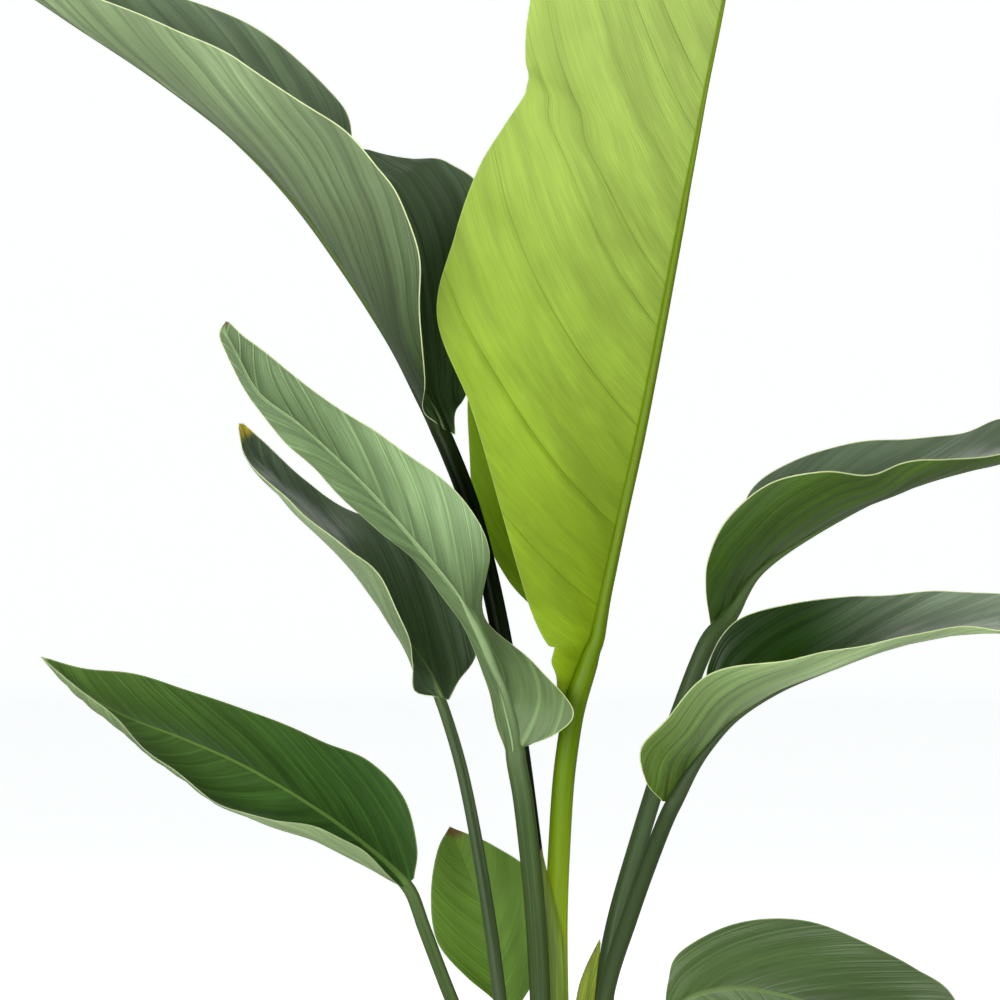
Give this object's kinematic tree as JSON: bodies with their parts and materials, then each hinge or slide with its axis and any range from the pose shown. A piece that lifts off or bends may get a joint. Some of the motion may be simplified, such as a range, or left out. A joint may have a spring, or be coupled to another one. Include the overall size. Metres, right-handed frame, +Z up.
{
  "type": "potted bird of paradise plant",
  "caption": "Upright house plant with large folded paddle-shaped leaves on long stalks, growing from potting mix in a plain tapered pot.",
  "frame": {"origin": "centre of the pot's underside", "axes": "+Z up; -Y toward the viewer of the leaves' display side, +X to the viewer's right"},
  "size_m": [0.5938, 0.21, 0.9382],
  "materials": {
    "pot": "matte",
    "potting_mix": "matte",
    "dark_leaf": "satin",
    "pale_leaf": "satin",
    "young_leaf": "satin",
    "stalk": "satin",
    "young_stalk": "satin",
    "sheath": "satin"
  },
  "bodies": {
    "root": {"pot": "pot", "potting_mix": "potting_mix", "high_left_stalk": "stalk", "high_left_blade": "dark_leaf", "new_centre_stalk": "young_stalk", "new_centre_blade": "young_leaf", "mid_left_stalk": "stalk", "mid_left_blade": "pale_leaf", "cupped_left_stalk": "stalk", "cupped_left_blade": "dark_leaf", "low_left_stalk": "stalk", "low_left_blade": "dark_leaf", "small_back_stalk": "stalk", "small_back_blade": "dark_leaf", "upper_right_stalk": "stalk", "upper_right_blade": "dark_leaf", "lower_right_stalk": "stalk", "lower_right_blade": "dark_leaf", "low_right_stalk": "stalk", "low_right_blade": "dark_leaf", "centre_sheath": "sheath", "right_sheath": "sheath"}
  },
  "joints": []
}
